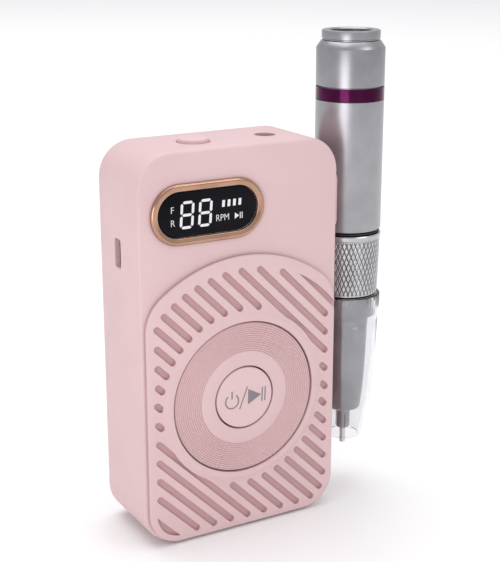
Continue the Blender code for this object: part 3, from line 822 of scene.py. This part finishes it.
# ------------------------------
# Direction key on top: a small domed blush button with a skirt that stops it
# under the wall, and a stem down to its switch.
# ------------------------------
top_key_profile = [(0.0, 1.5), (3.6, 1.48), (4.6, 1.36)] + fillet(4.75, 0.62, 0.75, 78, 0, 5)
top_key_profile += [(5.5, -2.6), (6.6, -2.6), (6.6, -3.6), (2.0, -3.6), (2.0, -12.2), (0.0, -12.2)]
top_key = turned_piece("top_key", top_key_profile, top_key_place, 72)
dress(top_key, key_plastic, "direction_key", "direction_button")

# ------------------------------
# Handpiece jack: a black moulded sleeve under the round hole in the top, with
# nickel-plated contact springs down its bore.
# ------------------------------
black_nylon = moulded_plastic(
    "black_nylon", (0.012, 0.012, 0.014), (0.03, 0.03, 0.032), (0.4, 0.55)
)
jack_profile = [(0.0, 122.3), (5.2, 122.3), (5.4, 122.5), (5.4, 137.2), (5.1, 137.5)]
jack_profile += [(3.8, 137.5), (3.3, 137.0), (3.3, 124.5), (0.0, 124.5)]
jack = turned_piece("jack_sleeve", jack_profile, (jack_x, jack_y, 0.0), 48)
dress(jack, black_nylon, "control_box", "handpiece_jack")
nickel = turned_metal("nickel_plate", (0.60, 0.58, 0.55), (0.74, 0.72, 0.69), (0.12, 0.24))
for number, angle in enumerate((30.0, 150.0, 270.0), 1):
    spring = block("tool", (-0.45, 2.85, 125.5), (0.45, 3.25, 135.0))
    ease_edges(spring, 0.12, 2)
    settle(spring, (jack_x, jack_y, 0.0), angle)
    spring.name = f"jack_contact_{number}"
    dress(spring, nickel, "control_box", None)

# ------------------------------
# Charging port: a drawn steel shell with a rolled mouth round a black tongue
# that carries gold contacts, set back behind the slot in the left side.
# ------------------------------
port_profile = [(0.0, -36.4), (-0.06, -36.55), (-0.18, -36.6), (-0.3, -36.5), (-0.34, -36.3)]
port_profile += [(-0.34, -29.6), (-0.1, -29.3), (0.0, -29.4)]
port_shell = round_rail("port_shell", port_profile, 3.3, 9.0, 1.4, (0.0, 0.0), 8, True)
settle(port_shell, (0.0, port_y, port_z), -90)
# Painted shade: the port's steel shell is given a near-black colour that stands in for the shade
# inside the slot.
port_shell_painted_shade = turned_metal("port_shell_painted_shade", (0.10, 0.085, 0.09), (0.14, 0.12, 0.125), (0.24, 0.34))
dress(port_shell, port_shell_painted_shade, "control_box", "usb_port")
tongue = block("port_tongue", (-35.6, -0.15, 100.5), (-29.6, 0.55, 107.1))
ease_edges(tongue, 0.1, 2)
dress(tongue, black_nylon, "control_box", None)
port_back = block("port_back", (-30.3, -1.05, 99.7), (-29.5, 1.45, 107.9))
ease_edges(port_back, 0.2, 2)
dress(port_back, black_nylon, "control_box", None)
gold = turned_metal("contact_gold", (0.78, 0.52, 0.22), (0.86, 0.60, 0.28), (0.18, 0.3))
lowest_contact, contact_pitch, contact_width = 101.15, 0.92, 0.42
for number in range(6):
    low = lowest_contact + number * contact_pitch
    contact = block("tool", (-35.3, -0.18, low), (-31.0, 0.58, low + contact_width))
    ease_edges(contact, 0.05, 1)
    contact.name = f"port_contact_{number + 1}"
    dress(contact, gold, "control_box", None)

# ------------------------------
# Pen cradle: a rounded blush pad on the right side, hollowed to the pen's curve,
# with pockets behind it for the two magnets that hold the steel barrel.
# ------------------------------
pen_x = 54.76
pen = (pen_x, 0.0, 0.0)
cradle_profile = [(0.0, -5.69), (0.0, -0.7), (-0.2, -0.2), (-0.7, 0.0)]
cradle = round_rail("pen_cradle", cradle_profile, 16.4, 23.0, 4.0, (0.0, 0.0), 8)
settle(cradle, (44.94, 0.0, 114.5), -90)
scoop_profile = [(0.0, 95.0), (12.8, 95.0), (12.8, 135.0), (0.0, 135.0)]
join_or_cut(cradle, turned_piece("tool", scoop_profile, pen, 96))
pocket_half = 3.05
for z in (109.0, 120.0):
    low = (39.0, -pocket_half, z - pocket_half)
    high = (40.65, pocket_half, z + pocket_half)
    join_or_cut(cradle, block("tool", low, high))
ease_edges(cradle, 0.3, 3, 50.0)
dress(cradle, blush, "control_box", "holder_cradle")

# ------------------------------
# Circuit boards: the main board and the display's board, in green solder mask
# over square-cornered copper traces laid in two directions.
# ------------------------------
green_board, tree, shader = new_material("green_board")
mask_green = (0.012, 0.10, 0.045)
swing = add_node(tree, "Mapping", own_place(tree), Rotation=(math.radians(90), 0.0, 0.0))
traces = add_node(
    tree, "TexBrick", Vector=swing.outputs["Vector"], Scale=260.0,
    Mortar_Size=0.06, Mortar_Smooth=0.2, Mortar=(0.03, 0.17, 0.075, 1.0),
    Color1=(*mask_green, 1.0), Color2=(*[c * 0.8 for c in mask_green], 1.0),
)
trace_bump = add_node(tree, "Bump", Distance=0.00004, Strength=0.5, Height=traces.outputs["Fac"])
wire(
    tree, shader, Base_Color=traces.outputs["Color"], Roughness=0.32,
    Normal=trace_bump.outputs["Normal"],
)


def finish_cad(material, *names):
    """Gives CAD parts whose shape is right a worked material in place of their plain one."""
    for name in names:
        part = bpy.data.objects[name]
        part.data.materials.clear()
        part.data.materials.append(material)


finish_cad(green_board, "main_board", "display_board")

# ------------------------------
# Battery cells: two lithium cells wrapped in shrunk blue film, fixed one above the
# other behind the main board.
# ------------------------------
wrap = moulded_plastic(
    "cell_wrap", (0.02, 0.07, 0.26), (0.03, 0.10, 0.34), (0.2, 0.34), (1400.0, 0.2, 0.3)
)
finish_cad(wrap, "battery_cell_1", "battery_cell_2")

# ------------------------------
# Switches and encoder: small black nylon housings under the two keys and the dial,
# soldered to the main board.
# ------------------------------
finish_cad(black_nylon, "power_switch", "direction_switch", "dial_encoder")

# ------------------------------
# Holder magnets: two nickel-plated blocks set in the pockets of the cradle, to
# hold the pen.
# ------------------------------
finish_cad(nickel, "holder_magnet_1", "holder_magnet_2")

# ------------------------------
# Barrel: a turned steel tube with a satin lathe finish. The other parts of the
# pen are fitted into it from its two ends.
# ------------------------------
def pen_tube(name, profile, steps=128):
    """Turns a hollow piece round the pen's axis from a closed profile of (radius, height)."""
    return turned_piece(name, profile, pen, steps, "up", True)


satin = turned_metal(
    "satin_steel", (0.33, 0.325, 0.345), (0.365, 0.36, 0.38), (0.30, 0.36), (2600.0, 0.22, 40.0)
)
barrel_profile = [(11.1, 160.0), (11.1, 101.7), (12.15, 101.8), (12.4, 102.0), (12.5, 102.2)]
barrel_profile += [(12.5, 149.6), (12.4, 149.7), (11.7, 149.7), (11.7, 160.0)]
dress(pen_tube("pen_barrel", barrel_profile), satin, "handpiece", "barrel")

# ------------------------------
# Accent ring: a narrow aluminium ring anodised violet and polished, let in
# between the barrel and the tail sleeve.
# ------------------------------
violet = turned_metal(
    "violet_anodised", (0.055, 0.007, 0.035), (0.075, 0.010, 0.048), (0.16, 0.22),
    (1500.0, 0.1, 60.0),
)
ring_profile = [(12.0, 149.85), (12.4, 149.85), (12.55, 150.0), (12.55, 154.3)]
ring_profile += [(12.4, 154.45), (12.0, 154.45)]
dress(pen_tube("violet_ring", ring_profile), violet, "handpiece", "accent_ring")

# ------------------------------
# Tail: a plain satin sleeve that ends in a chamfer, and an end cap with a rounded rim screwed into
# it.
# ------------------------------
sleeve_profile = [(9.9, 160.3), (12.0, 160.3), (12.0, 154.85), (12.4, 154.85), (12.5, 154.95)]
sleeve_profile += [(12.5, 168.15), (12.42, 168.4), (10.78, 170.75), (10.55, 170.9), (9.9, 170.9)]
dress(pen_tube("tail_sleeve_turned", sleeve_profile), satin, "handpiece", "tail_sleeve")
end_profile = [(7.9, 174.3), (8.1, 174.5), (10.2, 174.5), (10.5, 174.38), (10.6, 174.1)]
end_profile += [(10.6, 171.6), (10.25, 171.4), (10.25, 171.1), (9.6, 171.0), (9.6, 164.0)]
end_profile += [(7.6, 164.0), (7.6, 174.1)]
dress(pen_tube("end_cap_turned", end_profile), satin, "handpiece", "end_cap")

# ------------------------------
# Cord socket: a black nylon cup in the end of the pen, with one gold-plated pin
# pressed into its floor.
# ------------------------------
socket_profile = [(0.0, 162.6), (3.7, 162.6), (3.8, 162.7), (3.8, 172.3), (4.4, 172.9)]
socket_profile += [(7.0, 172.9), (7.2, 172.7), (7.2, 161.0), (0.0, 161.0)]
socket_body = turned_piece("cord_socket", socket_profile, pen, 72)
dress(socket_body, black_nylon, "handpiece", "cable_socket")
pin_profile = [(0.0, 162.5), (0.75, 162.5), (0.75, 169.6), (0.45, 170.4), (0.0, 170.6)]
pin = turned_piece("socket_pin", pin_profile, pen, 24)
dress(pin, gold, "handpiece", None)

# ------------------------------
# Seal: a soft black rubber ring pressed between the barrel and the collar, to
# keep dust out.
# ------------------------------
rubber = moulded_plastic(
    "black_rubber", (0.010, 0.010, 0.011), (0.022, 0.022, 0.024), (0.62, 0.78),
    (2600.0, 0.35, 0.1),
)
seal_profile = [(8.6, 100.75), (11.85, 100.75), (12.0, 100.9), (12.0, 101.25)]
seal_profile += [(11.85, 101.4), (8.6, 101.4)]
dress(pen_tube("rubber_seal", seal_profile, 96), rubber, "handpiece", "seal_ring")

# ------------------------------
# Lock collar: a bright ring cut with a fine diamond knurl over most of its
# length. It turns on the nose to open the chuck.
# ------------------------------
collar_foot, foot_radius, flare, flare_height, flare_steps = 77.5, 11.72, 0.62, 20.7, 84
collar_profile = [(9.9, 76.75), (11.35, 76.75), (11.7, 77.1), (foot_radius, collar_foot)]
for k in range(1, flare_steps + 1):
    share = k / flare_steps
    collar_profile.append((foot_radius + flare * share**0.62, collar_foot + flare_height * share))
collar_profile += [(12.42, 98.45), (12.62, 98.65), (12.65, 98.8), (12.65, 100.0)]
collar_profile += [(12.4, 100.38), (8.6, 100.4), (8.6, 96.5), (9.9, 95.5)]
collar = pen_tube("knurled_collar", collar_profile, 360)


def press_in(piece, low, high, inside, depth_at):
    """Moves a piece's skin towards the pen's axis, between two heights and beyond a radius.

    All are in mm; depth_at gives the depth for a point's angle and its height.
    """
    work = bmesh.new()
    work.from_mesh(piece.data)
    for vertex in work.verts:
        height = vertex.co.z / MM
        dx, dy = vertex.co.x - pen_x * MM, vertex.co.y
        if low < height < high and math.hypot(dx, dy) > inside * MM:
            depth = depth_at(math.atan2(dy, dx), height) * MM
            shrink = 1.0 - depth / math.hypot(dx, dy)
            vertex.co.x = pen_x * MM + dx * shrink
            vertex.co.y = dy * shrink
    work.to_mesh(piece.data)
    work.free()


starts, rise = 45, 4.12
knurl_depth, groove_share = 0.24, 0.17


def knurl(angle, height):
    """Depth of two crossing sets of grooves, deepest along the middle of each."""
    turn = angle * starts / math.tau
    near = min(abs((turn + s * height / rise + 0.5) % 1.0 - 0.5) for s in (1, -1))
    return knurl_depth * max(0.0, 1.0 - near / groove_share)


press_in(collar, 77.7, 98.0, 11.0, knurl)
pick(collar)
bpy.ops.object.shade_smooth_by_angle(angle=math.radians(14))

# Knurled steel: a bright metal, with painted shade: the cut grooves are painted dark between the
# points.
collar_steel = turned_metal(
    "collar_steel", (0.44, 0.435, 0.45), (0.50, 0.495, 0.51), (0.22, 0.28), (1800.0, 0.1, 60.0)
)
knurled_steel = collar_steel.copy()
knurled_steel.name = "knurled_steel"
tree = knurled_steel.node_tree
shader = tree.nodes["Principled BSDF"]
plain = shader.inputs["Base Color"].links[0].from_socket
centred = add_node(
    tree, "VectorMath", own_place(tree), (pen_x * MM, 0.0, 0.0), operation="SUBTRACT"
)
from_axis = add_node(tree, "SeparateXYZ", centred.outputs["Vector"]).outputs


def reckon(operation, *values):
    """One step of arithmetic in the knurl's material, as a socket."""
    return add_node(tree, "Math", *values, operation=operation).outputs[0]


turn = reckon("MULTIPLY", reckon("ARCTAN2", from_axis["Y"], from_axis["X"]), starts / math.tau)
climb = reckon("MULTIPLY", from_axis["Z"], 1.0 / (rise * MM))
distances = []
for operation in ("ADD", "SUBTRACT"):
    wrapped = reckon("WRAP", reckon(operation, turn, climb), 0.5, -0.5)
    distances.append(reckon("ABSOLUTE", wrapped))
nearest = reckon("MINIMUM", *distances)
band = add_node(tree, "MapRange", Value=nearest, From_Min=0.03, From_Max=0.14)
band.interpolation_type = "SMOOTHSTEP"
above = reckon("GREATER_THAN", from_axis["Z"], 98.1 * MM)
below = reckon("LESS_THAN", from_axis["Z"], 77.6 * MM)
uncut = reckon("MAXIMUM", band.outputs["Result"], reckon("MAXIMUM", above, below))
# Painted shade: the grooves get a near-black colour that stands in for the shade in them.
painted_groove_shade = (0.09, 0.088, 0.092, 1.0)
wire(tree, shader, Base_Color=mixed_colour(tree, uncut, painted_groove_shade, plain))
dress(collar, knurled_steel, "collar", "lock_collar")

# ------------------------------
# Nose: a polished tapered cone that houses the bearings. It stays with the
# barrel while the collar turns round it.
# ------------------------------
chrome = turned_metal(
    "polished_nose", (0.33, 0.326, 0.337), (0.39, 0.385, 0.397), (0.14, 0.22),
    (1500.0, 0.04, 60.0),
)
nose_profile = [
    (6.3, 106.5), (10.6, 106.5), (10.8, 106.3), (10.8, 102.6), (8.2, 102.6), (8.2, 77.0),
    (8.6, 76.4), (11.45, 76.4), (11.45, 68.6), (11.3, 68.35), (11.0, 68.2), (9.3, 68.0),
    (8.85, 67.2), (8.75, 64.6), (8.55, 64.4), (8.55, 64.0), (8.7, 63.8), (8.5, 58.0),
    (8.0, 46.0), (7.3, 36.0), (6.75, 30.9), (6.45, 30.2), (6.0, 29.8), (3.9, 29.8),
    (3.9, 55.0), (6.3, 57.6),
]
dress(pen_tube("polished_nose_cone", nose_profile), chrome, "handpiece", "nose_cone")

# ------------------------------
# Clear cap: a thick-walled acrylic guard pushed over the nose, open at the tip
# so that the bit comes through. Fine ribs round its rim give a grip.
# ------------------------------
clear, tree, shader = new_material("clear_acrylic")
wave = add_node(tree, "TexNoise", Vector=own_place(tree), Scale=110.0, Detail=2.0).outputs["Fac"]
wave_bump = add_node(tree, "Bump", Strength=0.15, Distance=0.0002, Height=wave)
wire(
    tree, shader,
    Transmission_Weight=1.0,
    IOR=1.46,
    Base_Color=two_tones(tree, wave, (0.80, 0.80, 0.815), (0.92, 0.92, 0.93)),
    Roughness=between(tree, wave, 0.0, 0.04),
    Normal=wave_bump.outputs["Normal"],
)
guard_profile = [
    (11.95, 76.4), (12.4, 76.4), (12.85, 76.25), (13.0, 75.95), (13.0, 72.3), (12.85, 70.6),
    (12.5, 68.0), (12.4, 64.0), (12.2, 58.5), (11.75, 52.0), (11.3, 46.0), (10.45, 35.0),
    (9.95, 32.0), (9.4, 30.0), (8.4, 25.2), (7.5, 20.5), (7.25, 19.2), (6.85, 18.3),
    (6.3, 18.0), (5.95, 18.35), (6.4, 20.8), (7.4, 25.8), (8.3, 30.4), (8.8, 32.6),
    (9.3, 35.4), (10.1, 46.2), (10.6, 52.5), (11.0, 58.7), (11.3, 63.0), (11.5, 66.0),
    (11.75, 68.0), (11.75, 76.2),
]
guard = pen_tube("clear_guard", guard_profile, 240)
rib_depth, ribs = 0.16, 60


def ribbing(angle, height):
    """Depth between the ribs round the rim, the same at every height."""
    return rib_depth * (0.5 - 0.5 * math.cos(ribs * angle))


press_in(guard, 72.0, 76.3, 12.7, ribbing)
dress(guard, clear, "cap", "clear_cap")

# ------------------------------
# Collet: a hardened steel sleeve, slit three ways through so that its six jaws
# close on the bit's shank.
# ------------------------------
collet_profile = [
    (0.0, 46.7), (3.2, 46.7), (3.4, 46.5), (3.4, 29.4), (2.75, 28.6), (2.75, 24.6),
    (2.6, 24.4), (2.6, 24.0), (2.75, 23.8), (2.75, 21.6), (2.55, 21.15), (2.2, 21.0),
    (1.4, 21.0), (1.25, 21.15), (1.25, 43.0), (0.0, 43.0),
]
collet = turned_piece("split_collet", collet_profile, pen, 64)
for turn in (15.0, 75.0, 135.0):
    slit = block("tool", (-4.0, -0.18, 20.0), (4.0, 0.18, 27.5))
    settle(slit, pen, turn)
    join_or_cut(collet, slit)
ease_edges(collet, 0.06, 1, 50.0)
dress(collet, chrome, "rotor", "collet")

# ------------------------------
# Bit: a ground steel shank with a small groove near its tip, held in the collet
# by its upper half.
# ------------------------------
bright = turned_metal(
    "polished_steel", (0.65, 0.64, 0.66), (0.70, 0.69, 0.71), (0.12, 0.16), (1800.0, 0.1, 60.0)
)
bit_profile = [(0.0, 14.2), (0.95, 14.2), (1.175, 14.45), (1.175, 17.2), (1.1, 17.3)]
bit_profile += [(1.1, 17.8), (1.175, 17.9), (1.175, 41.8), (1.0, 42.0), (0.0, 42.0)]
dress(turned_piece("bit_shank_turned", bit_profile, pen, 40), bright, "bit", "bit_shank")

# ------------------------------
# Inside the pen: the steel spindle, motor shaft and bearings, the zinc-plated
# motor can, and the nylon cam sleeve and coupling between them.
# ------------------------------
finish_cad(bright, "spindle", "motor_shaft", "front_bearing", "rear_bearing")
finish_cad(zinc, "motor_can")
finish_cad(black_nylon, "cam_sleeve", "drive_coupling")
